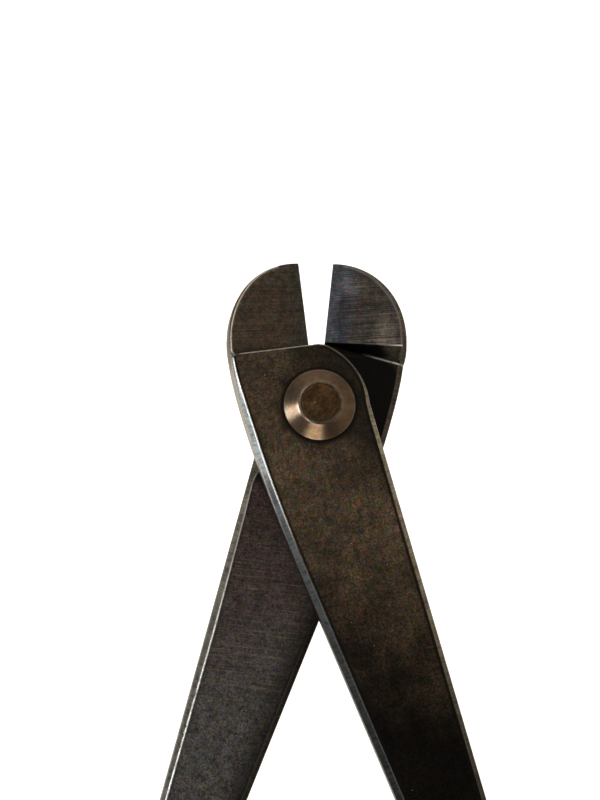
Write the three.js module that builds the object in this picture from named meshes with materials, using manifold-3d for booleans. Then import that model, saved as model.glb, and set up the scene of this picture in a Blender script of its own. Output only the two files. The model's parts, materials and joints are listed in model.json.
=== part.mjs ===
// A riveted hand cutter for wire and thin stems, in millimetres, +Z up, jaws up, seen from -Y.
// Two equal forged levers are lapped half over half and turn on one rivet along the Y axis.
// The rivet is a plain pin with a conical collar on each end. The origin is the centre of the
// rivet's front flat, so the lap plane lies at y = MID_PLANE.
import * as THREE from "three";
import { mergeVertices } from "three/addons/utils/BufferGeometryUtils.js";
import Module from "manifold-3d";

const wasm = await Module();
wasm.setup();

// ---- driving dimensions ----
const OPENING_DEG = 13.1; // angle between the two cutting edges in the stored pose
const LAP_GAP = 0.12; // running gap between the two laps
const PLATE_BACK = 5.9; // outer face of a lever, measured from the lap plane

const RIDGE_Z = 10.87; // straight shoulder where the flat lever face ends and the jaw begins
const EDGE_GAP = 0.06; // each cutting edge stops this far short of the middle when shut
const EDGE_HALF_LAND = 0.3; // half the blunt width of a cutting edge
const JAW_SLOPE = 0.3; // rise of a jaw face per millimetre away from its cutting edge

const HEAD_CENTRE = [-0.4, 12.2]; // centre of the jaw's elliptical outline, x and z
const HEAD_RX = 14.25;
const HEAD_RZ = 15.75;
const LOBE_CENTRE = [-3.85, -0.35]; // centre of the round shoulder beside the pivot
const LOBE_R = 12.7;
const LOBE_TOP_X = 1.2; // the ridge line runs this far past the middle before it rounds off
const LOBE_CORNER = [2.4, 10.8]; // control point of that rounding
const LOBE_START_DEG = 58; // where the round shoulder starts, measured from +X

const SHANK_OUTER = [18.9, -67]; // points where the straight shank becomes the bowed handle
const SHANK_INNER = [4.5, -65.9];
const WAIST = [-6.0, -30.6]; // where the jaw side's curved edge becomes the straight shank
const WAIST_CONTROL = [-14.65, -1.6];
const END_CENTRE = [19.3, -172.6]; // centre of the handle's round end
const END_R = 4.4;
const END_TILT = 0.13; // the handle's end leans in by this much per millimetre
// How far the bowed edges carry on in line with the shank, and with the handle's end.
const OUTER_START = [4.8, -32];
const OUTER_FINISH = 35;
const INNER_START = [9.8, -33];
const INNER_FINISH = 40;

const BEVEL_WIDTH = 1.15; // ground bevel along the long edges of both faces
const BEVEL_DEPTH = 0.8;

const RECESS_Z = 12.6; // height of the recess wall at the cutting edge, on the lap plane
const RECESS_FALL = 0.1575; // the wall drops by this much per millimetre outwards
const RECESS_RAKE = 0.532; // and rises by this much per millimetre away from the lap plane
const JAW_ROOT = 4; // the jaw reaches down this far below the ridge, into the lever

const PIN_R = 3.2;
const BORE_CLEARANCE = 0.06;
const COLLAR_R = 6.3;
const COLLAR_FLAT_R = 3.7;
const COLLAR_RIM = 0.35; // straight rim under the cone
const COLLAR_HEIGHT = 2.4;
const COLLAR_SEAT_GAP = 0.05; // between a collar and the lever under it
const PIN_CHAMFER = 0.1;

const MID_PLANE = PLATE_BACK + COLLAR_SEAT_GAP + COLLAR_HEIGHT;
const BORE_R = PIN_R + BORE_CLEARANCE;

const CURVE_STEPS = 20; // segments of a curve, and half those of an arc
const ROUND_STEPS = 64; // segments of the pin, the collars and the bores
const BIG = 250; // larger than the tool, for cutting blocks

// ---- solids ----
function solidOf(geometry) {
  const bare = geometry.clone();
  bare.deleteAttribute("normal");
  bare.deleteAttribute("uv");
  const merged = mergeVertices(bare, 1e-4);
  return new wasm.Manifold(
    new wasm.Mesh({
      numProp: 3,
      vertProperties: merged.attributes.position.array,
      triVerts: new Uint32Array(merged.index.array),
    }),
  );
}

function geometryOf(solid) {
  const mesh = solid.getMesh();
  const geometry = new THREE.BufferGeometry();
  geometry.setAttribute("position", new THREE.BufferAttribute(mesh.vertProperties, 3));
  geometry.setIndex(new THREE.BufferAttribute(mesh.triVerts, 1));
  geometry.computeVertexNormals();
  return geometry;
}

// A flat outline drawn in X and Z, made into a slab between two values of y.
function slab(shape, yFront, yBack, bevel = null) {
  const depth = yBack - yFront;
  const options = { depth, bevelEnabled: false, curveSegments: CURVE_STEPS };
  if (bevel) {
    options.depth = depth - 2 * bevel.depth;
    options.bevelEnabled = true;
    options.bevelSegments = 1;
    options.bevelSize = bevel.width;
    options.bevelOffset = -bevel.width;
    options.bevelThickness = bevel.depth;
  }
  const geometry = new THREE.ExtrudeGeometry(shape, options);
  geometry.translate(0, 0, bevel ? bevel.depth : 0);
  geometry.rotateX(Math.PI / 2);
  geometry.translate(0, yBack, 0);
  return solidOf(geometry);
}

// A block between two corners, sheared if a matrix is given.
function block(low, high, matrix = null) {
  const size = high.map((v, i) => v - low[i]);
  const geometry = new THREE.BoxGeometry(...size);
  geometry.translate(...low.map((v, i) => v + size[i] / 2));
  if (matrix) geometry.applyMatrix4(matrix);
  return solidOf(geometry);
}

// ---- one lever, drawn shut: jaw on the -X side, in front of the lap plane y = 0 ----
// The handle from the shank down to its round end, then up its inner edge to the jaw.
function drawHandle(shape) {
  const [cx, cz] = END_CENTRE;
  const lean = Math.atan(END_TILT);
  const side = [END_R * Math.cos(lean), -END_R * Math.sin(lean)];
  const outerEnd = [cx + side[0], cz + side[1]];
  const innerEnd = [cx - side[0], cz - side[1]];
  shape.lineTo(...SHANK_OUTER);
  shape.bezierCurveTo(
    SHANK_OUTER[0] + OUTER_START[0], SHANK_OUTER[1] + OUTER_START[1],
    outerEnd[0] + OUTER_FINISH * END_TILT, outerEnd[1] + OUTER_FINISH,
    ...outerEnd,
  );
  shape.absarc(cx, cz, END_R, -lean, -lean - Math.PI, true);
  shape.bezierCurveTo(
    innerEnd[0] + INNER_FINISH * END_TILT, innerEnd[1] + INNER_FINISH,
    SHANK_INNER[0] + INNER_START[0], SHANK_INNER[1] + INNER_START[1],
    ...SHANK_INNER,
  );
  shape.lineTo(...WAIST);
}

function leverOutline() {
  const shape = new THREE.Shape();
  const start = THREE.MathUtils.degToRad(LOBE_START_DEG);
  const tip = Math.acos((-EDGE_GAP - HEAD_CENTRE[0]) / HEAD_RX);
  shape.moveTo(-EDGE_GAP, RIDGE_Z);
  shape.lineTo(LOBE_TOP_X, RIDGE_Z);
  shape.quadraticCurveTo(
    ...LOBE_CORNER,
    LOBE_CENTRE[0] + LOBE_R * Math.cos(start), LOBE_CENTRE[1] + LOBE_R * Math.sin(start),
  );
  shape.absarc(...LOBE_CENTRE, LOBE_R, start, 0, true);
  drawHandle(shape);
  shape.quadraticCurveTo(...WAIST_CONTROL, HEAD_CENTRE[0] - HEAD_RX, HEAD_CENTRE[1]);
  shape.absellipse(...HEAD_CENTRE, HEAD_RX, HEAD_RZ, Math.PI, tip, true);
  return shape;
}

// The same edges carried on above the ridge, so that a bevel follows the long edges only.
function bevelBlankOutline() {
  const shape = new THREE.Shape();
  const top = HEAD_CENTRE[1] + 3 * BEVEL_WIDTH;
  const left = HEAD_CENTRE[0] - HEAD_RX;
  const slope = (SHANK_OUTER[0] - LOBE_CENTRE[0] - LOBE_R) / (SHANK_OUTER[1] - LOBE_CENTRE[1]);
  shape.moveTo(left, top);
  shape.lineTo(SHANK_OUTER[0] + slope * (top - SHANK_OUTER[1]), top);
  drawHandle(shape);
  shape.quadraticCurveTo(...WAIST_CONTROL, left, HEAD_CENTRE[1]);
  return shape;
}

// The part of the lever that lies in front of the lap plane, up to the ridge.
function leverPlate() {
  const blank = slab(bevelBlankOutline(), -PLATE_BACK, -LAP_GAP / 2, {
    width: BEVEL_WIDTH,
    depth: BEVEL_DEPTH,
  });
  const outline = slab(leverOutline(), -PLATE_BACK - 1, 1);
  return blank.intersect(outline).intersect(block([-BIG, -BIG, -BIG], [BIG, BIG, RIDGE_Z]));
}

// The jaw reaches through both laps and thins to a blunt edge along the middle.
function jaw() {
  const far = 2 * HEAD_RX;
  const wide = EDGE_HALF_LAND + JAW_SLOPE * far;
  const wedge = new THREE.Shape();
  wedge.moveTo(-EDGE_GAP, -EDGE_HALF_LAND);
  wedge.lineTo(-EDGE_GAP, EDGE_HALF_LAND);
  wedge.lineTo(-EDGE_GAP - far, wide);
  wedge.lineTo(-EDGE_GAP - far, -wide);
  const bar = new THREE.ExtrudeGeometry(wedge, { depth: 2 * HEAD_RZ, bevelEnabled: false });
  bar.translate(0, 0, RIDGE_Z - JAW_ROOT);
  return slab(leverOutline(), -PLATE_BACK, PLATE_BACK).intersect(solidOf(bar));
}

// Clears the other lever's round shoulder, behind the jaw and above the lap face.
function recess() {
  const shear = new THREE.Matrix4().set(
    1, 0, 0, 0,
    0, 1, 0, 0,
    RECESS_FALL, RECESS_RAKE, 1, RECESS_Z,
    0, 0, 0, 1,
  );
  return block([-BIG, -LAP_GAP / 2, -BIG], [BIG, BIG, 0], shear);
}

function bore() {
  const geometry = new THREE.CylinderGeometry(BORE_R, BORE_R, 4 * PLATE_BACK, ROUND_STEPS);
  return solidOf(geometry);
}

function leverGeometry() {
  return geometryOf(leverPlate().add(jaw().subtract(recess())).subtract(bore()));
}

// ---- rivet ----
// Half a profile turned about Y, standing on y = 0 and facing +Y.
function collarGeometry() {
  const profile = [
    [BORE_R, 0],
    [COLLAR_R, 0],
    [COLLAR_R, COLLAR_RIM],
    [COLLAR_FLAT_R, COLLAR_HEIGHT],
    [BORE_R, COLLAR_HEIGHT],
    [BORE_R, 0],
  ].map(([r, y]) => new THREE.Vector2(r, y));
  return new THREE.LatheGeometry(profile, ROUND_STEPS);
}

function pinGeometry() {
  const profile = [
    [0, -MID_PLANE],
    [PIN_R - PIN_CHAMFER, -MID_PLANE],
    [PIN_R, -MID_PLANE + PIN_CHAMFER],
    [PIN_R, MID_PLANE - PIN_CHAMFER],
    [PIN_R - PIN_CHAMFER, MID_PLANE],
    [0, MID_PLANE],
  ].map(([r, y]) => new THREE.Vector2(r, y));
  return new THREE.LatheGeometry(profile, ROUND_STEPS);
}

// ---- assembly ----
function steel(colour, roughness) {
  return new THREE.MeshStandardMaterial({ color: colour, roughness, metalness: 1 });
}

function named(name, geometry, material) {
  const mesh = new THREE.Mesh(geometry, material);
  mesh.name = name;
  return mesh;
}

const leverSteel = steel(0x3f352c, 0.5);
const rivetSteel = steel(0x5f4a38, 0.4);
const halfOpening = THREE.MathUtils.degToRad(OPENING_DEG / 2);
const levers = leverGeometry();

// The rear lever is the same forging turned half a turn about the tool's upright axis.
const frontLever = named("front_lever", levers, leverSteel);
frontLever.rotation.y = -halfOpening;
const rearLever = named("rear_lever", levers.clone(), leverSteel.clone());
rearLever.rotation.set(0, halfOpening, Math.PI, "YZX");

const rearCollar = named("rear_collar", collarGeometry(), rivetSteel);
rearCollar.position.y = PLATE_BACK + COLLAR_SEAT_GAP;
const frontCollar = named("front_collar", collarGeometry(), rivetSteel.clone());
frontCollar.position.y = -rearCollar.position.y;
frontCollar.rotation.z = Math.PI;
const pin = named("rivet_pin", pinGeometry(), rivetSteel.clone());

const cutter = new THREE.Group();
cutter.add(frontLever, rearLever, pin, frontCollar, rearCollar);
cutter.position.y = MID_PLANE;

export default cutter;
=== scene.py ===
"""A riveted wire and stem cutter, jaws up, on a pale sweep.

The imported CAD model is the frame. Each of its five nodes is replaced by a finer mesh of the same
size: two forged levers with ground bevels, worn edges and filleted shoulders, and a turned rivet.
Lever shapes are drawn in millimetres, shut about the pivot, with the jaw on the -X side.
"""
import json
import math

import bpy
import numpy as np
from mathutils import Matrix, Vector
from mathutils.geometry import delaunay_2d_cdt

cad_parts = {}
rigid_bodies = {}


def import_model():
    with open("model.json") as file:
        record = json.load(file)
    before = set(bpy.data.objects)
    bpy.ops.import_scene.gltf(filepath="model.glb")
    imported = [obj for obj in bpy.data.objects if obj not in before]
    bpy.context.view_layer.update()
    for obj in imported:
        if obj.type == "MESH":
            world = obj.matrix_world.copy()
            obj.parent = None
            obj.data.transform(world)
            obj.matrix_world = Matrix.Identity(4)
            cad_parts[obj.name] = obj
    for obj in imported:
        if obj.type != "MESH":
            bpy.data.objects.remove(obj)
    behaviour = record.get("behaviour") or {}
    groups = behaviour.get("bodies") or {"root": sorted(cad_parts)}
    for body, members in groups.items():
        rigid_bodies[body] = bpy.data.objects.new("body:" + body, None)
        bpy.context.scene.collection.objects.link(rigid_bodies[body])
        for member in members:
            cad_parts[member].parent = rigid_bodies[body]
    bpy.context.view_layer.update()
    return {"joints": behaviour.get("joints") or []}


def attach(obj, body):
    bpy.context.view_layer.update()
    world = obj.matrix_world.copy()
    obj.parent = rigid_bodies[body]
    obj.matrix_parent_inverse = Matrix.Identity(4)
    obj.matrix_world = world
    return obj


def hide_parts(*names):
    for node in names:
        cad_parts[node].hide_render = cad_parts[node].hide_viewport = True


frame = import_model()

JOINT = frame["joints"][0]
PIVOT = Vector(JOINT["pos_m"])
HALF_OPENING = math.radians(-JOINT["range_deg"][0]) / 2
FIXED_BODY = JOINT["parent"]
MOVING_BODY = JOINT["child"]
MM = 0.001

# ---- driving dimensions of a lever, in millimetres, as in the CAD model ----
LAP_GAP = 0.12
PLATE_BACK = 5.9
RIDGE_Z = 10.87
EDGE_GAP = 0.06
EDGE_HALF_LAND = 0.3
JAW_SLOPE = 0.3
HEAD_CENTRE = (-0.4, 12.2)
HEAD_RX = 14.25
HEAD_RZ = 15.75
LOBE_CENTRE = (-3.85, -0.35)
LOBE_R = 12.7
LOBE_TOP_X = 1.2
LOBE_CORNER = (2.4, 10.8)
LOBE_START_DEG = 58
SHANK_OUTER = (18.9, -67)
SHANK_INNER = (4.5, -65.9)
WAIST = (-6.0, -30.6)
WAIST_CONTROL = (-14.65, -1.6)
END_CENTRE = (19.3, -172.6)
END_R = 4.4
END_TILT = 0.13
OUTER_START = (4.8, -32)
OUTER_FINISH = 35
INNER_START = (9.8, -33)
INNER_FINISH = 40
RECESS_Z = 12.6
RECESS_FALL = 0.1575
RECESS_RAKE = 0.532
PIN_R = 3.2
BORE_R = 3.26
COLLAR_R = 6.3
COLLAR_FLAT_R = 3.7
COLLAR_RIM = 0.35
COLLAR_HEIGHT = 2.4
COLLAR_SEAT_GAP = 0.05

# ---- what the finer meshes add ----
EDGE_R = 0.13  # rounding of a worn edge
CUTTING_EDGE_R = 0.03
FILLET_R = 1.2  # hollow above the ridge, left by the grinding wheel
RAMP_BLEND = 0.35  # hollow at the foot of the recess wall
RIDGE_FALL = 0.016  # the ridge's fall towards the rim, for each millimetre along it
BEVEL_SLOPE = 0.7  # depth of a ground bevel for each millimetre of its width
WALL_BULGE = 0.33  # how far the head's side wall swells at the lap plane
WALL_FULLNESS = ((-12, 0), (0, 0.5), (8, 1), (22, 1), (27.5, 0))  # share of it at some heights
BULGE_REACH = 3.0
WALL_ROWS = 7
WALL_STRIP = 0.18  # width of a wall's first and last row of faces
# Widths of the ground bevels at some heights of the lever, from the handle's end to the tip.
FACE_JAW_SIDE = (
    (-172, 1.1), (-4, 1.2), (1, 1.05), (4, 0.85), (7, 0.6), (10, 0.5), (13, 0.6), (22, 0.6), (28, 0.1)
)
FACE_OUTER = ((-172, 1.0), (-60, 0.85), (-3, 0.8), (0, 0.65), (4, 0.4), (11, 0.3))
LAP_JAW_SIDE = ((-172, 1.0), (4, 0.9), (10, 0.9), (14.6, 1.2), (18.6, 0.95), (24, 0.75), (28, 0.1))
LAP_OUTER = ((-172, 1.1), (-68, 1.05), (-40, 1.3), (-20, 1.1), (-13.5, 0.9), (-10.5, 1.8), (11, 2.0))
# How bright wear and painted highlight leave the edges that face the main light: two heights, then
# the share left at each.
WEAR_AND_HIGHLIGHT_BY_HEIGHT = {"face": (-24, -14, 0.0, 1.0), "lap": (-42, -26, 1.0, 0.3)}
RIM_WEAR_AND_HIGHLIGHT_REACH = 0.1  # how far wear with painted highlight, and the painted shade line, reach to either side of their line
CREASE_WEAR_AND_HIGHLIGHT_REACH = 0.12
SHADE_LINE_REACH = 0.2
SHADE_LINE_OFFSET = 0.32  # the painted shade line lies this far inside a bevel
LEAST_BEVEL = 0.12  # a narrower bevel carries no wear, painted highlight, painted shade line or grinding marks
BEVEL_RISE = 0.06  # the masks of a bevel and of a jaw face rise over these widths
JAW_RISE = 0.1
HEAD_STEP = 0.45  # spacing of outline points round the head
HANDLE_STEP = 1.6
BORE_STEP = 0.3
SHARP_DEG = 48  # a corner sharper than this keeps its crease
TURNED_STEPS = 144  # points round a turned piece
# Where the triangles follow a line, so that edges and masks stay crisp: distances in from the rim,
# in from a bevel's crease and up from the ridge, then depths at the recess wall's foot and top.
RIM_RINGS = (0.01, 0.04, 0.08, 0.13, 0.3, 2.2, 4.4, 6.6)
CREASE_RINGS = (-0.13, -0.06, 0, 0.06, 0.13, 0.22, 0.32, 0.45, 0.6)
RIDGE_LINES = (-0.3, -0.13, -0.08, -0.04, -0.01, 0, 0.03, 0.08, 0.18, 0.35, 0.6, 0.9, 1.2, 1.5)
WALL_FOOT_LINES = (-0.6, -0.3, -0.06, 0.15, 0.35)
WALL_TOP_LINES = (-0.6, -0.4, -0.2, -0.1, -0.04, 0, 0.04, 0.1, 0.2, 0.4, 0.6)


# ---- outlines: lists of points without the last one, so that they can be chained ----
def straight(start, end, step):
    count = max(1, round(math.dist(start, end) / step))
    return [tuple(np.add(start, np.subtract(end, start) * i / count)) for i in range(count)]


def bezier(points, step):
    degree = len(points) - 1
    length = sum(math.dist(a, b) for a, b in zip(points, points[1:]))
    count = max(2, round(length / step))
    found = []
    for i in range(count):
        t = i / count
        weights = [math.comb(degree, k) * t**k * (1 - t) ** (degree - k) for k in range(degree + 1)]
        found.append(tuple(np.dot(weights, points)))
    return found


def arc(centre, radii, start_deg, end_deg, step):
    turn = math.radians(end_deg - start_deg)
    count = max(3, round(abs(turn) * max(radii) / step))
    angles = [math.radians(start_deg) + turn * i / count for i in range(count)]
    return [(centre[0] + radii[0] * math.cos(a), centre[1] + radii[1] * math.sin(a)) for a in angles]


def lever_outline():
    """The closed outline, clockwise, and the lengths along it where its named stretches end."""
    lobe = arc(LOBE_CENTRE, (LOBE_R, LOBE_R), LOBE_START_DEG, 0, HEAD_STEP)
    lean = math.degrees(math.atan(END_TILT))
    outer_end, inner_end = [
        (
            END_CENTRE[0] + side * END_R * math.cos(math.radians(lean)),
            END_CENTRE[1] - side * END_R * math.sin(math.radians(lean)),
        )
        for side in (1, -1)
    ]
    outer_bow = [
        SHANK_OUTER,
        tuple(np.add(SHANK_OUTER, OUTER_START)),
        (outer_end[0] + OUTER_FINISH * END_TILT, outer_end[1] + OUTER_FINISH),
        outer_end,
    ]
    inner_bow = [
        inner_end,
        (inner_end[0] + INNER_FINISH * END_TILT, inner_end[1] + INNER_FINISH),
        tuple(np.add(SHANK_INNER, INNER_START)),
        SHANK_INNER,
    ]
    head_left = (HEAD_CENTRE[0] - HEAD_RX, HEAD_CENTRE[1])
    tip_deg = math.degrees(math.acos((-EDGE_GAP - HEAD_CENTRE[0]) / HEAD_RX))
    tip_z = HEAD_CENTRE[1] + HEAD_RZ * math.sin(math.radians(tip_deg))
    lobe_end = (LOBE_CENTRE[0] + LOBE_R, LOBE_CENTRE[1])
    stretches = [
        ("ridge", straight((-EDGE_GAP, RIDGE_Z), (LOBE_TOP_X, RIDGE_Z), HEAD_STEP)),
        ("lobe", bezier([(LOBE_TOP_X, RIDGE_Z), LOBE_CORNER, lobe[0]], HEAD_STEP) + lobe),
        ("shank", straight(lobe_end, SHANK_OUTER, HANDLE_STEP)),
        ("outer", bezier(outer_bow, HANDLE_STEP)),
        ("end", arc(END_CENTRE, (END_R, END_R), -lean, -lean - 180, HEAD_STEP)),
        ("inner", bezier(inner_bow, HANDLE_STEP)),
        ("inner_shank", straight(SHANK_INNER, WAIST, HANDLE_STEP)),
        ("waist", bezier([WAIST, WAIST_CONTROL, head_left], HEAD_STEP * 2)),
        ("head", arc(HEAD_CENTRE, (HEAD_RX, HEAD_RZ), 180, tip_deg, HEAD_STEP)),
        ("edge", straight((-EDGE_GAP, tip_z), (-EDGE_GAP, RIDGE_Z), HEAD_STEP)),
    ]
    points = np.array([p for _, stretch in stretches for p in stretch])
    steps = np.linalg.norm(np.roll(points, -1, 0) - points, axis=1)
    lengths = np.concatenate([[0], np.cumsum(steps)])
    ends = {}
    count = 0
    for name, stretch in stretches:
        count += len(stretch)
        ends[name] = lengths[count]
    return points, lengths, ends


OUTLINE, LENGTHS, ENDS = lever_outline()


def nearest_on_rim(points):
    """For each point, its distance to the outline, the length along it, and the nearest point."""
    start = OUTLINE
    along = np.roll(OUTLINE, -1, 0) - start
    square = (along**2).sum(1)
    distance, length, foot = [], [], []
    for p in points:
        t = np.clip(((p - start) * along).sum(1) / square, 0, 1)
        feet = start + along * t[:, None]
        gap = np.linalg.norm(feet - p, axis=1)
        i = int(gap.argmin())
        distance.append(gap[i])
        length.append(LENGTHS[i] + t[i] * math.sqrt(square[i]))
        foot.append(feet[i])
    return np.array(distance), np.array(length), np.array(foot)


# ---- heights: how far each face of the lever stands off the lap plane ----
def soft_max(a, b, blend):
    """The larger of two values, with the corner between them rounded over a short stretch."""
    gap = np.clip((a - b) / blend, -1, 1)
    return np.maximum(a, b) + blend * (1 - np.abs(gap)) ** 2 / 4


def round_over(distance, radius):
    """How far a rounded edge falls away at a distance from it."""
    inside = np.clip(1 - distance / radius, 0, 1)
    return radius * (1 - np.sqrt(1 - inside**2))


def jaw_depth(x):
    return EDGE_HALF_LAND + JAW_SLOPE * np.maximum(-x - EDGE_GAP, 0)


def above_ridge(x, z):
    return z - RIDGE_Z - RIDGE_FALL * (x + EDGE_GAP)


def face_base(x, z):
    """The outer face without its bevels: a flat plate up to the ridge, then the sunk jaw face."""
    above = above_ridge(x, z)
    sunk = jaw_depth(x) + round_over(np.maximum(above, 0), FILLET_R)
    wall = np.clip(above / 0.03, 0, 1)
    plate = PLATE_BACK - round_over(np.maximum(-above, 0), EDGE_R) * (x < -EDGE_GAP)
    return np.where(above <= 0, plate, (PLATE_BACK - EDGE_R) * (1 - wall) + sunk * wall)


def lap_base(x, z):
    """The lap face without its bevels: the lap plane, the raked recess wall, then the jaw face."""
    wall = (z - RECESS_Z - RECESS_FALL * x) / RECESS_RAKE
    wall = -soft_max(-wall, -jaw_depth(x), EDGE_R * 2)
    return np.where(x > 0, -LAP_GAP / 2, soft_max(wall, -LAP_GAP / 2, RAMP_BLEND))


def face_rim(x, z):
    """The outer face's height at the rim, easing from the plate's to the jaw's by the ridge."""
    share = np.clip((z - RIDGE_Z + 0.7) / 0.9, 0, 1)
    share = share * share * (3 - 2 * share) * (x < LOBE_CENTRE[0])
    return PLATE_BACK * (1 - share) + jaw_depth(x) * share


def on_jaw_side(length):
    return length > (ENDS["outer"] + ENDS["end"]) / 2


def bevel_width(length, z, jaw_side, outer):
    """The bevel's width beside a point of the rim. The cutting edge and the ridge have none."""
    width = np.where(
        on_jaw_side(length), np.interp(z, *zip(*jaw_side)), np.interp(z, *zip(*outer))
    )
    return np.where((length > ENDS["head"]) | (length < ENDS["ridge"]), 0.0, width)


FACES = {
    "face": (face_base, face_rim, FACE_JAW_SIDE, FACE_OUTER),
    "lap": (lap_base, lap_base, LAP_JAW_SIDE, LAP_OUTER),
}


def bevel_start(side, length, foot):
    """The height at which the bevel begins, on the rim."""
    _, rim, jaw_side, outer = FACES[side]
    width = bevel_width(length, foot[:, 1], jaw_side, outer)
    return rim(foot[:, 0], foot[:, 1]) - BEVEL_SLOPE * width


def height(side, points, distance, length, foot):
    """The finished height of one face, with its bevel and its rounded outer edge."""
    base = FACES[side][0](points[:, 0], points[:, 1])
    bevel = bevel_start(side, length, foot) + BEVEL_SLOPE * distance
    bevel = np.where(bevel_start(side, length, foot) > base - 1e-6, base + 1, bevel)
    radius = np.where(length > ENDS["head"], CUTTING_EDGE_R, EDGE_R)
    return -soft_max(-base, -bevel, EDGE_R) - round_over(distance, radius)


def crease_offset(side):
    """How far in from each outline point the bevel meets the face."""
    base = FACES[side][0]
    start = bevel_start(side, LENGTHS[:-1], OUTLINE)
    offset = np.zeros(len(OUTLINE))
    for _ in range(8):
        p = OUTLINE + INWARD * offset[:, None]
        offset = np.clip((base(p[:, 0], p[:, 1]) - start) / BEVEL_SLOPE, 0, 2.5)
    return offset


def inward_normals():
    along = np.roll(OUTLINE, -1, 0) - np.roll(OUTLINE, 1, 0)
    along /= np.linalg.norm(along, axis=1)[:, None]
    return np.stack([along[:, 1], -along[:, 0]], 1)


INWARD = inward_normals()


# ---- the lever's mesh: one flat triangulation, lifted to both faces and joined by walls ----
def feature_lines():
    """Lines that the triangles must follow: rings inside the outline, the ridge, the recess."""
    rings = [np.full(len(OUTLINE), d) for d in RIM_RINGS]
    for side in FACES:
        offset = crease_offset(side)
        rings += [offset + d for d in CREASE_RINGS]
    lines = []
    for offset in rings:
        points = OUTLINE + INWARD * offset[:, None]
        distance = nearest_on_rim(points)[0]
        keep = (distance > 0.97 * offset) & (offset > 0.005)
        run = []
        for point, kept in zip(points, keep):
            if kept:
                run.append(tuple(point))
            elif run:
                lines.append(run)
                run = []
        lines.append(run)
    left = HEAD_CENTRE[0] - HEAD_RX - 1
    for up in RIDGE_LINES:
        ridge = RIDGE_Z + up
        lines.append([(left, ridge + RIDGE_FALL * (left + EDGE_GAP)), (-EDGE_GAP / 2, ridge)])
    for depth in WALL_FOOT_LINES:
        wall = RECESS_Z + RECESS_RAKE * depth
        lines.append([(left, wall + RECESS_FALL * left), (0.0, wall)])
    for past in WALL_TOP_LINES:
        line = []
        for x in (left, 0.0):
            depth = jaw_depth(np.array(x)) + past
            line.append((x, RECESS_Z + RECESS_FALL * x + RECESS_RAKE * depth))
        lines.append(line)
    return [line for line in lines if len(line) > 1]


def triangulate():
    """Points of the flat outline, and its triangles with the bore left out."""
    points = [Vector(p) for p in OUTLINE]
    edges = [(i, (i + 1) % len(points)) for i in range(len(points))]
    bore = arc((0, 0), (BORE_R, BORE_R), 360, 0, BORE_STEP)
    first = len(points)
    points += [Vector(p) for p in bore]
    edges += [(first + i, first + (i + 1) % len(bore)) for i in range(len(bore))]
    for line in feature_lines():
        first = len(points)
        points += [Vector(p) for p in line]
        edges += [(first + i, first + i + 1) for i in range(len(line) - 1)]
    found, _, faces, *_ = delaunay_2d_cdt(points, edges, [], 0, 1e-4)
    flat = np.array([tuple(p) for p in found])
    middle = np.array([flat[list(face)].mean(0) for face in faces])
    inside = inside_outline(middle) & (np.linalg.norm(middle, axis=1) > BORE_R * 0.998)
    kept = [tuple(face) for face, ok in zip(faces, inside) if ok]
    return flat, kept


def inside_outline(points):
    start = OUTLINE
    end = np.roll(OUTLINE, -1, 0)
    inside = []
    for x, z in points:
        crosses = (start[:, 1] > z) != (end[:, 1] > z)
        a, b = start[crosses], end[crosses]
        at = a[:, 0] + (z - a[:, 1]) / (b[:, 1] - a[:, 1]) * (b[:, 0] - a[:, 0])
        inside.append(int((at > x).sum()) % 2 == 1)
    return np.array(inside)


def open_edges(faces):
    """Edges with a face on one side only, each in its face's direction."""
    directed = {(f[i], f[(i + 1) % len(f)]) for f in faces for i in range(len(f))}
    return [(a, b) for a, b in sorted(directed) if (b, a) not in directed]


def crease_mask(distance, reach):
    return np.exp(-((distance / reach) ** 2))


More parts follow.
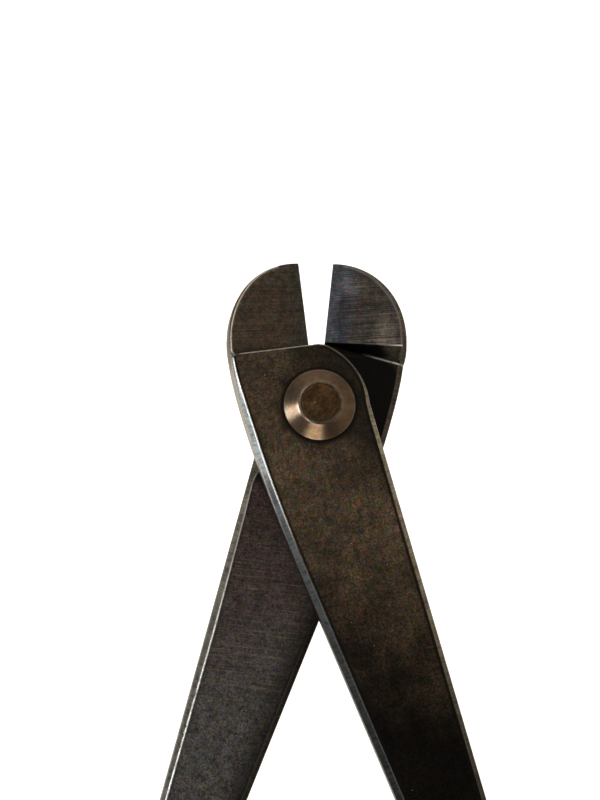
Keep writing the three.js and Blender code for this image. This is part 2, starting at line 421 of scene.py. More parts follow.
def face_masks(side, flat, distance, length, foot):
    """Wear with painted highlight, ground bevel and jaw face for one face of the lever.

    The first mask is 1 on an edge that is rubbed bright and given a painted highlight, and below 0 in
    the painted shade line inside a bevel.
    """
    base = FACES[side][0](flat[:, 0], flat[:, 1])
    bevel = bevel_start(side, length, foot) + BEVEL_SLOPE * distance
    past = (base - bevel) / BEVEL_SLOPE
    width = bevel_width(length, foot[:, 1], *FACES[side][2:])
    has_bevel = width > LEAST_BEVEL
    on_bevel = np.clip(past / BEVEL_RISE + 0.5, 0, 1) * has_bevel
    x, z = flat[:, 0], flat[:, 1]
    in_jaw = x < 0
    rim_wear_and_highlight = np.interp(z, (RIDGE_Z - 2, RIDGE_Z + 2), (0.9, 0.15))
    at_rim = rim_wear_and_highlight * crease_mask(distance, RIM_WEAR_AND_HIGHLIGHT_REACH)
    worn = np.maximum(at_rim, crease_mask(past, CREASE_WEAR_AND_HIGHLIGHT_REACH) * has_bevel)
    # wear and painted highlight are strongest on the face's inner side and the lap face's outer side,
    # which face the light
    lower, upper, at_lower, at_upper = WEAR_AND_HIGHLIGHT_BY_HEIGHT[side]
    by_height = np.interp(z, (lower, upper), (at_lower, at_upper))
    facing_light = (on_jaw_side(length) == (side == "face")) * by_height
    worn *= 0.1 + 0.9 * facing_light
    if side == "face":
        # wear and a painted highlight along the ridge's edge
        worn = np.maximum(worn, crease_mask(above_ridge(x, z), CREASE_WEAR_AND_HIGHLIGHT_REACH) * in_jaw)
        jaw = np.clip(above_ridge(x, z) / JAW_RISE, 0, 1) * in_jaw
    else:
        # the recess wall's top edge is rubbed and given a painted highlight near the rim; its foot, a
        # hollow, gets a painted highlight over the outer part
        wall_foot = RECESS_Z + RECESS_FALL * x
        wall_top = wall_foot + RECESS_RAKE * jaw_depth(x)
        by_rim = np.clip((-x - 11) / 2.5, 0.1, 1)
        by_rim *= np.clip((distance - 0.7) / 0.2, 0, 1)
        outer_part = np.clip(-x - 7.5, 0, 1)
        worn = np.maximum(worn, crease_mask(z - wall_top, RIM_WEAR_AND_HIGHLIGHT_REACH) * in_jaw * by_rim)
        worn = np.maximum(worn, crease_mask(z - wall_foot, CREASE_WEAR_AND_HIGHLIGHT_REACH) * outer_part)
        jaw = np.clip((z - wall_top) / JAW_RISE, 0, 1) * in_jaw
    # a painted shade line inside each bevel, weaker on the lap face; above the ridge it turns to a
    # faint painted highlight
    shade_line = crease_mask(past + SHADE_LINE_OFFSET, SHADE_LINE_REACH) * has_bevel
    shade_line *= np.where(z > RIDGE_Z, -0.12, 1.0 if side == "face" else 0.4)
    return np.stack([worn - shade_line, on_bevel, jaw], 1)


def swollen(points, distance, length):
    """Moves the head's rim outwards near the lap plane and a little inwards away from it."""
    on_head = (length > ENDS["inner"]) & (length < ENDS["head"])
    share = np.interp(points[:, 2], *zip(*WALL_FULLNESS)) * on_head
    share *= np.clip(1 - distance / BULGE_REACH, 0, 1) ** 2
    depth = np.minimum(np.abs(points[:, 1]) / (PLATE_BACK - 1.5), 1)
    out = WALL_BULGE * share * (1 - 1.75 * depth**2)
    inward = [np.interp(length, LENGTHS[:-1], INWARD[:, i]) for i in (0, 1)]
    return points - np.stack([inward[0] * out, np.zeros(len(points)), inward[1] * out], 1)


def lever_parts():
    """Points in millimetres, faces, and for each point its place by the rim and its masks.

    The place is the length along the rim, the distance in from it, and which surface the point is
    on: 0 the outer face, 1 the lap face, 2 a wall. The distance counts as 0 on the bore's wall too,
    so the head's swelling also moves that wall, by up to about 0.12 mm towards the pin.
    """
    flat, faces = triangulate()
    distance, length, foot = nearest_on_rim(flat)
    count = len(flat)
    points, masks, rims = [], [], []
    for side, surface, outwards in (("face", 0.0, -1), ("lap", 1.0, 1)):
        y = outwards * height(side, flat, distance, length, foot)
        points.append(np.stack([flat[:, 0], y, flat[:, 1]], 1))
        masks.append(face_masks(side, flat, distance, length, foot))
        rims.append(np.stack([length, distance, np.full(count, surface)], 1))
    made = []
    for face in faces:
        area = np.cross(flat[face[1]] - flat[face[0]], flat[face[2]] - flat[face[0]])
        ring = face if area > 0 else face[::-1]
        made.append(ring)
        made.append(tuple(count + i for i in reversed(ring)))
    # a wall under each open edge, with a narrow strip at both ends for the worn edge
    walls = open_edges([f for f in made if max(f) < count])
    used = sorted({i for edge in walls for i in edge})
    place = {index: i for i, index in enumerate(used)}
    top, bottom = points[0][used], points[1][used]
    rows = [used]
    first = 2 * count
    strip = np.clip(WALL_STRIP / (bottom[:, 1:2] - top[:, 1:2]), 0, 0.1)
    for row in range(WALL_ROWS):
        share = strip + (1 - 2 * strip) * row / (WALL_ROWS - 1)
        points.append(top + (bottom - top) * share)
        masks.append(np.zeros((len(used), 3)))
        rims.append(np.stack([length[used], np.zeros(len(used)), np.full(len(used), 2.0)], 1))
        rows.append(range(first, first + len(used)))
        first += len(used)
    rows.append([count + i for i in used])
    for upper, lower in zip(rows, rows[1:]):
        for a, b in walls:
            i, j = place[a], place[b]
            made.append((upper[j], upper[i], lower[i], lower[j]))
    rims = np.concatenate(rims)
    points = swollen(np.concatenate(points), rims[:, 1], rims[:, 0])
    return points, made, rims, np.concatenate(masks)


def vector_attribute(mesh, name, values):
    attribute = mesh.attributes.new(name, "FLOAT_VECTOR", "POINT")
    attribute.data.foreach_set("vector", np.asarray(values, np.float32).ravel())


def finished(name, points, faces, placed, material, attributes):
    """A smooth-shaded object whose points, in millimetres, are put in place by a matrix."""
    mesh = bpy.data.meshes.new(name)
    world = [placed @ (Vector(p) * MM) for p in points]
    mesh.from_pydata(world, [], faces)
    mesh.shade_smooth()
    mesh.set_sharp_from_angle(angle=math.radians(SHARP_DEG))
    for key, values in attributes.items():
        vector_attribute(mesh, key, values)
    mesh.validate()
    mesh.materials.append(material)
    piece = bpy.data.objects.new(name, mesh)
    bpy.context.scene.collection.objects.link(piece)
    weighted = piece.modifiers.new("flat faces stay flat", "WEIGHTED_NORMAL")
    weighted.keep_sharp = True
    return piece


# ---- materials ----
class Graph:
    """Short names for building one material."""

    def __init__(self, name):
        self.material = bpy.data.materials.new(name)
        self.material.use_nodes = True
        self.tree = self.material.node_tree
        self.shader = self.tree.nodes["Principled BSDF"]

    def put(self, value, socket):
        if isinstance(value, bpy.types.NodeSocket):
            self.tree.links.new(value, socket)
        else:
            socket.default_value = value

    def node(self, kind, inputs, output=0, **settings):
        made = self.tree.nodes.new(kind)
        for key, value in settings.items():
            setattr(made, key, value)
        for key, value in inputs.items():
            self.put(value, made.inputs[key])
        return made.outputs[output]

    def math(self, operation, *values):
        return self.node("ShaderNodeMath", dict(enumerate(values)), operation=operation)

    def rest(self, share):
        """What is left of 1."""
        return self.math("SUBTRACT", 1.0, share)

    def times(self, *values):
        found = values[0]
        for value in values[1:]:
            found = self.math("MULTIPLY", found, value)
        return found

    def plus(self, *values):
        found = values[0]
        for value in values[1:]:
            found = self.math("ADD", found, value)
        return found

    def from_pivot(self, x, z):
        return self.math("SQRT", self.plus(self.times(x, x), self.times(z, z)))

    def attribute(self, name):
        return self.node("ShaderNodeAttribute", {}, 1, attribute_name=name)

    def split(self, vector):
        made = self.tree.nodes.new("ShaderNodeSeparateXYZ")
        self.put(vector, made.inputs[0])
        return made.outputs

    def join(self, x, y, z):
        return self.node("ShaderNodeCombineXYZ", {0: x, 1: y, 2: z})

    def stretched(self, vector, scale, offset=(0, 0, 0)):
        inputs = {0: vector, 1: scale, 2: offset}
        return self.node("ShaderNodeVectorMath", inputs, operation="MULTIPLY_ADD")

    def distance(self, a, b):
        return self.node("ShaderNodeVectorMath", {0: a, 1: b}, 1, operation="DISTANCE")

    def noise(self, vector, scale, detail=3, roughness=0.55, output=0):
        inputs = {"Vector": vector, "Scale": scale, "Detail": detail, "Roughness": roughness}
        return self.node("ShaderNodeTexNoise", inputs, output)

    def cells(self, vector, scale):
        inputs = {"Vector": vector, "Scale": scale}
        return self.node("ShaderNodeTexVoronoi", inputs, feature="F1")

    def fade(self, value, low, high, to_low=0.0, to_high=1.0):
        inputs = {0: value, 1: low, 2: high, 3: to_low, 4: to_high}
        return self.node("ShaderNodeMapRange", inputs, interpolation_type="SMOOTHSTEP")

    def mix(self, share, a, b):
        return self.node("ShaderNodeMix", {0: share, 6: a, 7: b}, 2, data_type="RGBA")

    def scaled(self, colour, *amounts):
        """The colour multiplied by numbers or by other colours."""
        for amount in amounts:
            colour = self.node("ShaderNodeVectorMath", {0: colour, 1: amount}, operation="MULTIPLY")
        return colour

    def bump(self, height, distance, strength=1.0):
        inputs = {"Height": height, "Distance": distance, "Strength": strength}
        self.put(self.node("ShaderNodeBump", inputs), self.shader.inputs["Normal"])


OXIDE = (0.130, 0.090, 0.054, 1)
OXIDE_DARK = (0.078, 0.057, 0.037, 1)
OXIDE_RED = (0.150, 0.074, 0.043, 1)
LAP_OXIDE = (0.049, 0.033, 0.029, 1)
LAP_OXIDE_LOW = (0.077, 0.070, 0.064, 1)
RECESS_SHEEN = (0.19, 0.175, 0.12, 1)
JAW_OXIDE = (0.080, 0.059, 0.042, 1)
JAW_LIT_GREY = (0.150, 0.121, 0.100, 1)
BLUED_AND_REFLECTION = (0.21, 0.215, 0.255, 1)
JAW_OUTSIDE_EDGE = (0.052, 0.055, 0.046, 1)
# near black: grease in pits, and the colour of painted shade and shadow
GREASE_AND_SHADE = (0.006, 0.005, 0.004, 1)
GROUND_STEEL = (0.165, 0.16, 0.15, 1)
GROUND_DARK = (0.075, 0.07, 0.065, 1)
# bright worn steel, also the colour of the painted highlights on edges
WORN_AND_HIGHLIGHT_STEEL = (0.82, 0.77, 0.70, 1)
DUST = (0.62, 0.54, 0.42, 1)
SCRATCH = (0.26, 0.19, 0.145, 1)
RIVET_DARK = (0.125, 0.080, 0.049, 1)
RIVET_LIGHT = (0.172, 0.112, 0.070, 1)
RIVET_RINGS = (0.20, 0.145, 0.10, 1)  # the lighter rings left by the lathe
RIVET_FLAT_DARK = (0.052, 0.028, 0.013, 1)
RIVET_FLAT_LIGHT = (0.104, 0.057, 0.028, 1)
# Colours that a surface's own colour is multiplied by.
NO_TINT = (1.0, 1.0, 1.0, 1)
BROWN_TINT = (1.05, 0.66, 0.38, 1)  # a bevel of the outer face, beside the jaw
OUTSIDE_TINT = (1.1, 1.0, 0.78, 1)  # a bevel of the outer face, on the side without the jaw
LAP_TINT = (1.12, 0.95, 0.76, 1)
WALL_TINT = (1.12, 0.90, 0.68)
RELIEF_MM = 0.02  # depth of the grain and of the grinding marks
BELOW_RIVET = (4.0, -PLATE_BACK, -12.7)  # the middle of a stain on the outer face
HEAD_REACH = 15.5  # the lap face is darker, and its edges less bright, this far from the pivot, where the other lever's head turns over it


class LeverGraph(Graph):
    """A lever's material, with the places, masks and noises that its layers share."""

    def __init__(self, name, seed):
        super().__init__(name)
        self.seed = seed
        self.local = self.attribute("local")
        self.place = self.stretched(self.local, (1, 1, 1), (seed, seed * 2.0, -seed))
        self.x, self.y, self.z = self.split(self.local)
        self.along, self.inward, side = self.split(self.attribute("rim"))
        # the first mask holds wear with painted highlight above 0 and the painted shade line inside a
        # bevel below 0
        self.worn, self.bevel, self.jaw = self.split(self.attribute("masks"))
        self.off_jaw = self.rest(self.jaw)
        self.on_face = self.math("LESS_THAN", side, 0.5)
        self.on_lap = self.math("COMPARE", side, 1.0, 0.5)
        self.on_wall = self.math("GREATER_THAN", side, 1.5)
        self.jaw_side = self.math("GREATER_THAN", self.along, ENDS["end"])
        self.radius = self.from_pivot(self.x, self.z)
        self.smudge = self.noise(self.place, 0.35, 4, 0.6)
        self.grain = self.noise(self.place, 3.3, 4, 0.7)


def plate_colour(g):
    """Forged and blackened steel: blotched brown, darkest part of the way down the outer face."""
    blotch = g.noise(g.place, 0.14, 4, 0.6)
    reddened = g.fade(g.noise(g.place, 0.45, 4, 0.6), 0.5, 0.72, 0, 0.5)
    face = g.mix(g.fade(blotch, 0.35, 0.65), OXIDE_DARK, OXIDE)
    face = g.mix(reddened, face, OXIDE_RED)
    low = g.plus(g.times(g.z, 1.1), g.times(g.x, 0.6), g.times(blotch, 24.0), -12.0)
    darkening = g.plus(g.fade(low, -60.0, -5.0, 0.045, 1.0), g.fade(low, -80.0, -130.0, 0.0, 0.5))
    face = g.scaled(face, darkening, g.fade(g.z, -17.0, -3.0, 1.0, 0.62))
    height = g.plus(g.z, g.times(blotch, 30.0), -15.0)
    lap = g.mix(g.fade(height, -18.0, -62.0), LAP_OXIDE, LAP_OXIDE_LOW)
    # a painted sheen over the recess wall; the painted shadow in the recess darkens its inner part
    lap = g.mix(g.fade(g.z, 8.0, 9.5), lap, RECESS_SHEEN)
    return g.mix(g.on_lap, face, lap)


def jaw_lines(g):
    """Grinding lines across the jaws, which lean a little on the lap side."""
    lean = g.times(g.x, g.on_lap, 0.11)
    height = g.times(g.plus(g.z, lean, g.seed), 7.5)
    return g.noise(g.join(g.times(g.x, 0.05), g.times(g.y, 0.1), height), 1.0, 4, 0.8)


def jaw_colour(g, lines):
    """Jaws ground across their width: brown outside, grey and blued towards the edge inside, as
    painted reflection.
    """
    wander = g.plus(g.x, g.times(g.noise(g.place, 0.35, 2), 2.0), -1.0)
    outside = g.mix(g.fade(wander, -5.0, -0.6, 0, 0.6), JAW_OXIDE, JAW_OUTSIDE_EDGE)
    outside = g.scaled(outside, g.fade(lines, 0.36, 0.66, 0.7, 1.35))
    # inside, a dark band of painted reflection lies between the edge and the rim, up to below the tip
    dark_reflection_band = g.times(g.fade(wander, -12.5, -7.0), g.fade(wander, -0.4, -3.0), g.fade(g.z, 25.5, 20.0))
    inside = g.mix(g.fade(wander, -6.0, -1.4), JAW_LIT_GREY, BLUED_AND_REFLECTION)
    inside = g.scaled(inside, g.fade(g.z, 19.0, 26.0, 1.0, 0.85), g.fade(dark_reflection_band, 0.0, 1.0, 1.05, 0.3))
    inside = g.scaled(inside, g.fade(lines, 0.36, 0.66, 0.4, 2.0))
    return g.mix(g.on_lap, outside, inside)


def mottled(g, colour):
    """Fine mottling of scale and wear, light and dark, reddish and greenish."""
    depth = g.fade(g.jaw, 0.0, 1.0, 1.0, 0.4)
    lightness = g.times(g.fade(g.grain, 0.28, 0.72, -0.65, 0.65), depth)
    patches = g.fade(g.noise(g.place, 0.8, 3, 0.6), 0.32, 0.66, 0.76, 1.22)
    colour = g.scaled(colour, g.plus(lightness, 1.0), patches)
    tints = g.noise(g.place, 2.6, 2, 0.6, output=1)
    return g.scaled(colour, g.stretched(tints, (3.2, 2.2, 3.2), (-0.6, -0.1, -0.6)))


def cross_scratches(g):
    """How strongly the plates are scratched across: most part of the way down the lap face."""
    across = g.noise(g.stretched(g.place, (0.10, 0.3, 5.5)), 1.0, 4, 0.75)
    zone = g.times(g.fade(g.z, -14.0, -28.0), g.fade(g.z, -66.0, -44.0), g.on_lap)
    strength = g.plus(g.times(zone, 0.5), g.fade(g.z, -48.0, -20.0, 0.0, 0.12))
    return g.times(g.fade(across, 0.5, 0.7), strength, g.fade(g.smudge, 0.35, 0.6, 0.35, 1.0))


def swept_share(g):
    """Where the other lever's head turns over the lap face."""
    reach = g.plus(g.radius, g.times(g.smudge, 2.0), -1.0)
    return g.times(g.fade(reach, HEAD_REACH + 2.2, HEAD_REACH), g.on_lap, g.off_jaw)


def darkening_and_shade_shares(g):
    """How strongly each place is darkened: painted shade and shadow, a stain below the rivet,
    and darker patches round the collar, beside the lobe and where the other head turns over the lap
    face.
    """
    near_collar = g.fade(g.plus(g.radius, g.times(g.smudge, 5.0)), 11.2, 8.4)
    # painted contact shadow round the collar's foot
    collar_contact_shadow = g.fade(g.radius, COLLAR_R + 0.8, COLLAR_R + 0.1)
    # painted shade in the hollow above the ridge
    above_line = g.plus(g.z, g.times(g.x, -RIDGE_FALL), -RIDGE_Z)
    fillet_shade = g.times(g.fade(above_line, 1.9, 0.15), g.jaw)
    beside_lobe = g.times(g.fade(g.inward, 6.5, 1.5), g.fade(g.z, -22.0, -8.0), g.rest(g.jaw_side))
    below_rivet = g.fade(g.distance(g.local, BELOW_RIVET), 5.5, 1.5)
    # painted shadow along the lap face's inner rim, where the other lever shades it
    inner_rim_shadow = g.times(g.fade(g.inward, 5.8, 0.6), g.jaw_side)
    # painted shadow in the recess, where the other lever's lobe shades it
    recess_shadow = g.times(g.fade(g.z, 9.5, 11.0), g.fade(g.x, -12.5, -8.5), g.off_jaw)
    return (
        g.times(near_collar, g.on_face, 0.7),
        g.times(collar_contact_shadow, g.on_face, 0.9),
        swept_share(g),
        g.times(fillet_shade, g.on_face, 0.75),
        g.times(recess_shadow, g.on_lap, 0.85),
        g.times(inner_rim_shadow, g.on_lap, 0.75),
        g.times(beside_lobe, g.on_face, 0.7),
        g.times(below_rivet, g.on_face, 0.45),
    )


def bevel_marks(g):
    """Grinding marks across the bevels."""
    return g.noise(g.join(g.times(g.along, 2.6), g.times(g.inward, 0.5), g.seed), 1.0, 4, 0.8)


def bevel_colour(g, marks):
    """Ground steel, darker in some stretches of the four bevels than in others, as painted light and
    shade.
    """
    ground = g.mix(g.fade(marks, 0.36, 0.56), GROUND_DARK, GROUND_STEEL)
    ground = g.scaled(ground, g.fade(g.smudge, 0.35, 0.62, 1.1, 0.7))
    # painted light and shade: how bright each bevel is along its height
    face_inner = g.times(g.fade(g.z, -14.5, -7.5, 0.3, 1.0), g.fade(g.z, -60.0, -25.0, 0.6, 1.0))
    face_outer = g.times(g.fade(g.z, -70.0, -10.0, 0.5, 2.4), g.fade(g.z, -2.0, 6.0, 1.0, 0.45))
    on_jaw = g.fade(g.z, RECESS_Z, RECESS_Z + 3.0, 1.0, 1.5)
    lap_inner = g.times(g.fade(g.z, -12.0, -4.0, 0.3, 0.6), on_jaw)
    lap_outer = g.fade(g.z, -55.0, -14.0, 0.34, 0.9)
    face_light_and_shade = g.fade(g.jaw_side, 0.0, 1.0, face_outer, face_inner)
    lap_light_and_shade = g.fade(g.jaw_side, 0.0, 1.0, lap_outer, lap_inner)
    level = g.fade(g.on_lap, 0.0, 1.0, face_light_and_shade, lap_light_and_shade)
    by_jaw = g.mix(g.fade(g.z, RIDGE_Z - 2.0, RIDGE_Z + 3.0), NO_TINT, BROWN_TINT)
    on_outside = g.times(g.on_face, g.rest(g.jaw_side))
    face_tint = g.mix(on_outside, by_jaw, OUTSIDE_TINT)
    return g.scaled(ground, level, g.mix(g.on_lap, face_tint, LAP_TINT))


def wall_colour(g, colour):
    """The walls are browner than the faces, and rubbed bright, with a painted highlight, on the jaw's
    side beside the pivot.
    """
    colour = g.mix(g.on_wall, colour, g.scaled(colour, WALL_TINT))
    beside_pivot = g.times(g.fade(g.z, -16.0, -6.0), g.fade(g.z, 11.0, 7.0))
    polished_and_highlit = g.times(g.on_wall, g.jaw_side, beside_pivot, 0.4)
    return g.mix(polished_and_highlit, colour, WORN_AND_HIGHLIGHT_STEEL)


def rubbed_and_highlit_share(g):
    """Where edges are rubbed bright and given a painted highlight, patchily, and less where the other
    head turns over them.
    """
    patchy = g.fade(g.noise(g.place, 0.7, 4), 0.28, 0.55, 0.45, 1.0)
    rubbed_and_highlit = g.times(g.math("MAXIMUM", g.worn, 0.0), patchy)
    return g.times(rubbed_and_highlit, g.rest(g.times(swept_share(g), 0.6)))


def pit_share(g):
    """Pits everywhere, and stains on one stretch of the lap face."""
    stretch = g.times(g.fade(g.z, -44.0, -56.0), g.fade(g.z, -78.0, -64.0), g.on_lap)
    stains = g.times(g.fade(g.noise(g.place, 0.9, 5, 0.7), 0.57, 0.66), stretch)
    return g.math("MAXIMUM", g.fade(g.cells(g.place, 0.9), 0.07, 0.03), g.times(stains, 0.9))


def lever_steel(name, seed):
    g = LeverGraph(name, seed)
    lines = jaw_lines(g)
    marks = bevel_marks(g)
    scratch = cross_scratches(g)
    rubbed_and_highlit = rubbed_and_highlit_share(g)
    pits = pit_share(g)
    # the painted shade line inside the bevels
    shade_line = g.times(g.math("MINIMUM", g.worn, 0.0), -1.0)
    dust = g.fade(g.cells(g.stretched(g.place, (1, 1, 1), (7, 3, 5)), 0.42), 0.032, 0.018)

    colour = g.mix(g.jaw, plate_colour(g), jaw_colour(g, lines))
    colour = mottled(g, colour)
    colour = g.mix(g.times(scratch, g.off_jaw), colour, SCRATCH)
    # painted shade and shadow, a stain and darker patches
    for share in darkening_and_shade_shares(g):
        colour = g.mix(share, colour, GREASE_AND_SHADE)
    colour = g.mix(g.bevel, colour, bevel_colour(g, marks))
    colour = wall_colour(g, colour)
    colour = g.mix(shade_line, colour, GREASE_AND_SHADE)
    # edges rubbed bright, with painted highlights
    colour = g.mix(rubbed_and_highlit, colour, WORN_AND_HIGHLIGHT_STEEL)
    colour = g.mix(g.times(pits, 0.8), colour, GREASE_AND_SHADE)
    colour = g.mix(dust, colour, DUST)
    g.put(colour, g.shader.inputs["Base Color"])

    rough = g.plus(0.46, g.fade(g.grain, 0.3, 0.7, -0.06, 0.08), g.times(scratch, -0.08))
    rough = g.plus(rough, g.times(g.bevel, -0.10), g.times(g.on_wall, -0.12), g.times(rubbed_and_highlit, -0.18))
    g.put(rough, g.shader.inputs["Roughness"])
    g.shader.inputs["Metallic"].default_value = 0.9

    relief = g.plus(g.times(g.grain, 0.5), g.times(scratch, -0.35), g.times(pits, -0.8))
    relief = g.plus(relief, g.times(g.math("SUBTRACT", lines, 0.5), g.jaw, 1.6))
    relief = g.plus(relief, g.times(g.math("SUBTRACT", marks, 0.5), g.bevel, 1.4))
    g.bump(relief, RELIEF_MM * MM)
    return g.material


def rivet_steel(name, seed):
    g = Graph(name)
    local = g.attribute("local")
    place = g.stretched(local, (1, 1, 1), (seed, 0, seed))
    x, _, z = g.split(local)
    radius = g.from_pivot(x, z)
    worn, flat, _ = g.split(g.attribute("masks"))

    blotch = g.noise(place, 0.5, 4, 0.6)
    rings = g.noise(g.join(g.times(radius, 9.0), 0.0, seed), 1.0, 3, 0.7)
    colour = g.mix(g.fade(blotch, 0.35, 0.65), RIVET_DARK, RIVET_LIGHT)
    colour = g.mix(g.fade(rings, 0.4, 0.7, 0, 0.35), colour, RIVET_RINGS)
    diagonal = g.plus(g.times(x, 4.6), g.times(z, 5.4))
    level = g.plus(g.times(x, 0.5), g.times(z, -0.42))
    brushed = g.noise(g.join(diagonal, level, 0.0), 1.0, 4, 0.7)
    flat_colour = g.mix(g.fade(brushed, 0.4, 0.66), RIVET_FLAT_DARK, RIVET_FLAT_LIGHT)
    stain = g.fade(g.noise(place, 0.55, 4, 0.65), 0.36, 0.62, 0.6, 1.4)
    colour = g.mix(flat, colour, g.scaled(flat_colour, stain))
    tints = g.noise(place, 2.2, 3, 0.6, output=1)
    colour = g.scaled(colour, g.stretched(tints, (1.5, 1.0, 1.5), (0.25, 0.5, 0.25)))
    # a little wear, with a faint painted highlight, on the collar's edges and the pin's
    rubbed_and_highlit = g.times(worn, g.fade(g.noise(place, 1.4, 3), 0.35, 0.6, 0.3, 1.0))
    colour = g.mix(rubbed_and_highlit, colour, WORN_AND_HIGHLIGHT_STEEL)
    nicks = g.fade(g.cells(place, 0.8), 0.09, 0.04)
    colour = g.mix(g.times(nicks, flat, 0.5), colour, WORN_AND_HIGHLIGHT_STEEL)
    g.put(colour, g.shader.inputs["Base Color"])

    rough = g.plus(0.21, g.times(flat, 0.19), g.fade(rings, 0.3, 0.7, -0.03, 0.05))
    g.put(rough, g.shader.inputs["Roughness"])
    g.shader.inputs["Metallic"].default_value = 1.0

    relief = g.plus(g.times(rings, g.rest(flat), 0.25), g.times(brushed, flat, 0.8))
    g.bump(relief, RELIEF_MM * MM)
    return g.material


# ---- pieces ----
def make_lever(name, node, body, shape, placed, seed):
    points, faces, rims, masks = shape
    attributes = {"local": points, "rim": rims, "masks": masks}
    material = lever_steel(f"{name}_steel", seed)
    piece = finished(name, points, faces, placed, material, attributes)
    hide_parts(node)
    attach(piece, body)


def turned_piece(name, node, profile, placed, seed):
    """Turns a profile of (radius, height, wear and painted highlight, flat) about the local Y axis.
    """
    count = TURNED_STEPS
    points, masks, faces = [], [], []
    for radius, y, worn, flat in profile:
        for i in range(count):
            angle = 2 * math.pi * i / count
            points.append((radius * math.cos(angle), y, radius * math.sin(angle)))
            masks.append((worn, flat, 0))
    rows = len(profile)
    for row in range(rows - 1):
        for i in range(count):
            j = (i + 1) % count
            a, b = row * count, (row + 1) * count
            faces.append((a + i, b + i, b + j, a + j))
    closed = profile[0][0] == profile[-1][0] and profile[0][1] == profile[-1][1]
    if closed:
        last = (rows - 1) * count
        faces = [tuple(v % last if v >= last else v for v in face) for face in faces]
        points, masks = points[:last], masks[:last]
    else:
        faces.append(tuple(range(count)))
        faces.append(tuple(reversed(range((rows - 1) * count, rows * count))))
    attributes = {"local": points, "masks": masks}
    piece = finished(name, points, faces, placed, rivet_steel(f"{name}_steel", seed), attributes)
    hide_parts(node)
    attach(piece, FIXED_BODY)


def rounded(corner, before, after, radius, steps=5):
    """Points of a short curve that rounds a profile's corner."""
    corner, before, after = (np.array(p, float) for p in (corner, before, after))
    start = corner + (before - corner) / np.linalg.norm(before - corner) * radius
    end = corner + (after - corner) / np.linalg.norm(after - corner) * radius
    found = []
    for i in range(steps + 1):
        t = i / steps
        found.append((1 - t) ** 2 * start + 2 * t * (1 - t) * corner + t * t * end)
    return found


def collar_profile():
    """A cone with a straight rim and a flat top, bored for the pin, standing on y = 0."""
    corners = [
        (BORE_R, 0),
        (COLLAR_R, 0),
        (COLLAR_R, COLLAR_RIM),
        (COLLAR_FLAT_R, COLLAR_HEIGHT),
        (BORE_R, COLLAR_HEIGHT),
    ]
    rounding = {1: 0.06, 2: 0.16, 3: 0.3, 4: 0.06}  # corner: radius
    profile = [(*corners[0], 0, 0)]
    for i, radius in rounding.items():
        after = corners[(i + 1) % len(corners)]
        for p in rounded(corners[i], corners[i - 1], after, radius):
            on_top = 1 if i == 4 or (i == 3 and p[1] > COLLAR_HEIGHT - 0.02) else 0
            worn = 0.08 if i in (2, 3) else 0
            profile.append((p[0], p[1], worn, on_top))
    cone_steps = 6
    at = next(i for i, p in enumerate(profile) if p[1] > COLLAR_RIM + 0.3)
    low, high = profile[at - 1], profile[at]
    for k in range(1, cone_steps):
        t = k / cone_steps
        radius = low[0] + (high[0] - low[0]) * t
        y = low[1] + (high[1] - low[1]) * t
        profile.insert(at + k - 1, (radius, y, 0, 0))
    profile.append(profile[0])
    return profile


def pin_profile():
    """The peened pin: its ends are ground flush with the collars."""
    half = PLATE_BACK + COLLAR_SEAT_GAP + COLLAR_HEIGHT
    chamfer = ((0.6, 0), (PIN_R - 0.12, 0), (PIN_R - 0.03, 0.03), (PIN_R, 0.12))  # radius, depth
    upper = [(radius, half - depth, 0.15 if depth else 0, 1) for radius, depth in chamfer]
    lower = [(radius, -y, worn, flat) for radius, y, worn, flat in reversed(upper)]
    return upper + lower


def turned(degrees, axis):
    return Matrix.Rotation(math.radians(degrees), 4, axis)


def make_tool():
    shape = lever_parts()
    centre = Matrix.Translation(PIVOT)
    opening = math.degrees(HALF_OPENING)
    # Matrix rotations about Y turn Z towards X, so an opening jaw on the -X side turns by -opening
    front = centre @ turned(-opening, "Y")
    rear = centre @ turned(opening, "Y") @ turned(180, "Z")
    make_lever("front_lever_forging", "front_lever", FIXED_BODY, shape, front, 3.0)
    make_lever("rear_lever_forging", "rear_lever", MOVING_BODY, shape, rear, 41.0)
    seat = Matrix.Translation((0, (PLATE_BACK + COLLAR_SEAT_GAP) * MM, 0))
    facing_front = centre @ turned(180, "Z")
    turned_piece("rear_rivet_collar", "rear_collar", collar_profile(), centre @ seat, 5.0)
    turned_piece("front_rivet_collar", "front_collar", collar_profile(), facing_front @ seat, 11.0)
    turned_piece("rivet_shank", "rivet_pin", pin_profile(), facing_front, 17.0)


# ---- stage, lights and camera ----
FLOOR_SIZE = 1.6
FLOOR_GAP = 0.001  # between the floor and a handle's end as it swings past straight down
SWEEP_BACK = 0.75
SWEEP_R = 0.35
SWEEP_HEIGHT = 1.6
SWEEP_STEPS = 24
SWEEP_COLOUR = (0.80, 0.79, 0.77, 1)
SWEEP_GLOW = 0.72
BACKDROP = (1.0, 0.992, 0.982, 1)


def pale_sweep():
    g = Graph("pale_sweep")
    g.shader.inputs["Base Color"].default_value = SWEEP_COLOUR
    g.shader.inputs["Roughness"].default_value = 0.9
    g.shader.inputs["Emission Color"].default_value = BACKDROP
    g.shader.inputs["Emission Strength"].default_value = SWEEP_GLOW
    return g.material


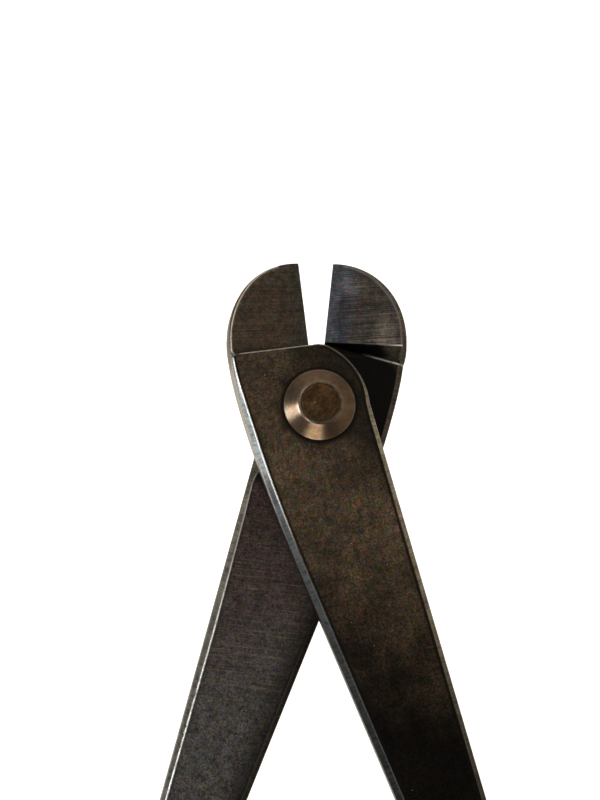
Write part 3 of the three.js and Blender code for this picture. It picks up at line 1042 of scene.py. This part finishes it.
def make_sweep():
    """A pale floor that curves up into a backdrop. It lights nothing: the room does that."""
    floor_z = PIVOT.z - (math.hypot(*END_CENTRE) + END_R) * MM - FLOOR_GAP
    bend = [
        (SWEEP_BACK + SWEEP_R * math.sin(a), floor_z + SWEEP_R * (1 - math.cos(a)))
        for a in np.linspace(0, math.pi / 2, SWEEP_STEPS)
    ]
    line = [(-FLOOR_SIZE, floor_z), *bend, (SWEEP_BACK + SWEEP_R, floor_z + SWEEP_HEIGHT)]
    points = [(side * FLOOR_SIZE, y, z) for y, z in line for side in (-1, 1)]
    faces = [(2 * i, 2 * i + 1, 2 * i + 3, 2 * i + 2) for i in range(len(line) - 1)]
    mesh = bpy.data.meshes.new("sweep")
    mesh.from_pydata(points, [], faces)
    mesh.shade_smooth()
    mesh.materials.append(pale_sweep())
    sweep = bpy.data.objects.new("sweep", mesh)
    bpy.context.scene.collection.objects.link(sweep)
    sweep.visible_glossy = False
    sweep.visible_diffuse = False
    sweep.visible_shadow = False


# The room as the tool sees it: soft patches of light, each with a direction, how far it reaches
# (the cosines where it ends and where it is full), a colour and a strength.
ROOM_BASE = (0.20, 0.185, 0.165)
ROOM_PATCHES = (
    ("window", (-0.89, -0.43, -0.09), (0.955, 0.993), (0.84, 0.93, 1.0), 8.0),
    ("lamp", (-0.45, -0.74, -0.5), (0.975, 0.992), (0.86, 0.92, 1.0), 3.5),
    ("second_lamp", (-0.3, -0.86, 0.42), (0.98, 0.994), (1.0, 0.97, 0.9), 1.8),
    ("left_wall", (-0.65, -0.75, 0.1), (0.45, 0.95), (0.85, 0.93, 1.0), 0.25),
    ("right_wall", (0.9, -0.35, 0.1), (0.5, 1.0), (1.0, 0.9, 0.76), 0.3),
    ("table", (-0.13, -0.42, -0.9), (0.93, 0.985), (1.0, 0.97, 0.84), 2.9),
    ("ahead", (0.0, -0.95, 0.3), (0.75, 1.0), (1.0, 0.93, 0.84), 0.22),
    ("above", (0.0, -0.3, 1.0), (0.6, 1.0), (1.0, 0.9, 0.78), 0.42),
    ("behind", (0.0, 1.0, 0.1), (0.1, 0.7), (1.0, 0.93, 0.82), 0.7),
)


def make_room():
    world = bpy.data.worlds.new("room")
    world.use_nodes = True
    tree = world.node_tree
    background = tree.nodes["Background"]

    def add(kind, **settings):
        made = tree.nodes.new(kind)
        for key, value in settings.items():
            setattr(made, key, value)
        return made

    direction = add("ShaderNodeTexCoord").outputs["Generated"]
    total = ROOM_BASE
    for _, towards, reach, colour, strength in ROOM_PATCHES:
        facing = add("ShaderNodeVectorMath", operation="DOT_PRODUCT")
        tree.links.new(direction, facing.inputs[0])
        facing.inputs[1].default_value = Vector(towards).normalized()
        patch = add("ShaderNodeMapRange", interpolation_type="SMOOTHSTEP")
        tree.links.new(facing.outputs["Value"], patch.inputs[0])
        patch.inputs[1].default_value, patch.inputs[2].default_value = reach
        patch.inputs[4].default_value = strength
        tinted = add("ShaderNodeVectorMath", operation="SCALE")
        tinted.inputs[0].default_value = colour
        tree.links.new(patch.outputs[0], tinted.inputs["Scale"])
        summed = add("ShaderNodeVectorMath", operation="ADD")
        tree.links.new(tinted.outputs[0], summed.inputs[0])
        if isinstance(total, tuple):
            summed.inputs[1].default_value = total
        else:
            tree.links.new(total, summed.inputs[1])
        total = summed.outputs[0]
    # what the camera sees past the sweep is as pale as the sweep
    seen = add("ShaderNodeMix", data_type="RGBA")
    tree.links.new(add("ShaderNodeLightPath").outputs["Is Camera Ray"], seen.inputs[0])
    tree.links.new(total, seen.inputs[6])
    seen.inputs[7].default_value = BACKDROP
    tree.links.new(seen.outputs[2], background.inputs["Color"])
    bpy.context.scene.world = world


CAMERA_AZIMUTH = -4.2  # degrees; the camera stands to the left of the tool and looks up at it
CAMERA_ELEVATION = -10.3
CAMERA_DISTANCE = 0.162
CAMERA_ROLL = -0.545
CAMERA_AIM_LEFT = 1.0866  # degrees between the camera's axis and the pivot
CAMERA_AIM_UP = 0.7003
LENS_MM = 40.5
SENSOR_MM = 36


def make_camera():
    azimuth, elevation = math.radians(CAMERA_AZIMUTH), math.radians(CAMERA_ELEVATION)
    back = Vector(
        (
            math.sin(azimuth) * math.cos(elevation),
            -math.cos(azimuth) * math.cos(elevation),
            math.sin(elevation),
        )
    )
    upright = back.to_track_quat("Z", "Y").to_matrix()
    rolled = upright @ Matrix.Rotation(math.radians(CAMERA_ROLL), 3, "Z")
    left, up = math.radians(CAMERA_AIM_LEFT), math.radians(CAMERA_AIM_UP)
    aim = Vector((math.tan(left), -math.tan(up), -1))
    aside = aim.rotation_difference(Vector((0, 0, -1))).to_matrix()
    data = bpy.data.cameras.new("camera")
    data.lens = LENS_MM
    data.sensor_width = SENSOR_MM
    data.clip_start = 0.01
    camera = bpy.data.objects.new("camera", data)
    placed = Matrix.Translation(PIVOT + back * CAMERA_DISTANCE)
    camera.matrix_world = placed @ (rolled @ aside).to_4x4()
    bpy.context.scene.collection.objects.link(camera)
    bpy.context.scene.camera = camera


make_camera()
make_room()
make_sweep()
make_tool()

view = bpy.context.scene.view_settings
view.view_transform = "Standard"
view.look = "None"
